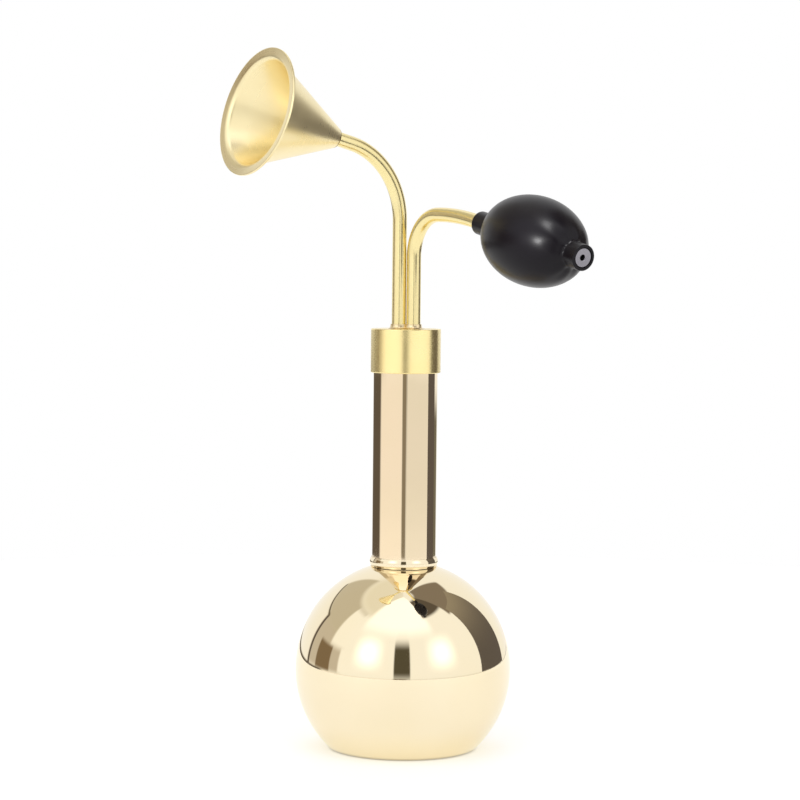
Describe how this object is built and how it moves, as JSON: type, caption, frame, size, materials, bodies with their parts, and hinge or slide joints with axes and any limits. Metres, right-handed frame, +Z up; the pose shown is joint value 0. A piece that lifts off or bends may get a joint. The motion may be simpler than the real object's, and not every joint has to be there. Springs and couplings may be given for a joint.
{
  "type": "horn and bulb scent flask",
  "caption": "Brass flask with a round bowl and straight neck; its screw cap carries a cone horn and a rubber squeeze bulb on bent tubes, to puff out scented air.",
  "frame": {"origin": "centre of the bowl's flat base, on the flask's axis", "axes": "+Z up along the neck, the horn points to -X and the bulb to -Y"},
  "size_m": [0.1246, 0.1635, 0.2912],
  "materials": {
    "polished_brass": "mirror polished and lacquered",
    "rose_brass": "mirror polished and lacquered",
    "satin_brass": "fine satin",
    "tube_brass": "polished",
    "solder": "matt",
    "black_rubber": "soft gloss",
    "valve_steel": "bright nickel",
    "milky_plastic": "milky",
    "felt": "pressed wool"
  },
  "bodies": {
    "flask": {"bowl_lower": "polished_brass", "bowl_upper": "polished_brass", "neck_tube": "rose_brass", "neck_bead": "polished_brass", "neck_finish": "polished_brass", "scent_pad": "felt"},
    "gasket": {"cap_gasket": "black_rubber"},
    "cap_group": {"cap": "satin_brass", "tube_solder": "solder", "horn_tube": "tube_brass", "pump_tube": "tube_brass", "dip_tube": "milky_plastic", "horn": "satin_brass", "horn_socket": "satin_brass", "bulb": "black_rubber", "outlet_valve_body": "valve_steel", "outlet_valve_retainer": "valve_steel"},
    "bulb_end": {"inlet_valve_body": "valve_steel", "inlet_valve_retainer": "valve_steel"},
    "inlet_ball": {"inlet_valve_ball": "black_rubber"},
    "outlet_ball": {"outlet_valve_ball": "black_rubber"}
  },
  "joints": [
    {"name": "cap_lift", "type": "slide", "parent": "flask", "child": "gasket", "axis": [0, 0, 1], "range_m": [0, 0.005]},
    {"name": "cap_turn", "type": "hinge", "parent": "gasket", "child": "cap_group", "pos_m": [0, 0, 0.168], "axis": [0, 0, 1], "range_deg": [0, 360]},
    {"name": "bulb_squeeze", "type": "slide", "parent": "cap_group", "child": "bulb_end", "axis": [0, 0.9799, 0.1994], "range_m": [0, 0.014], "stiffness_N_per_m": 900, "deforming": ["bulb"]},
    {"name": "inlet_ball_lift", "type": "slide", "parent": "bulb_end", "child": "inlet_ball", "axis": [0, 0.9799, 0.1994], "range_m": [0, 0.0009]},
    {"name": "outlet_ball_lift", "type": "slide", "parent": "cap_group", "child": "outlet_ball", "axis": [0, 0.9799, 0.1994], "range_m": [0, 0.0009]}
  ],
  "couplings": [
    {"joint": "cap_lift", "follows": "cap_turn", "m_per_rad": 0.00079577}
  ]
}
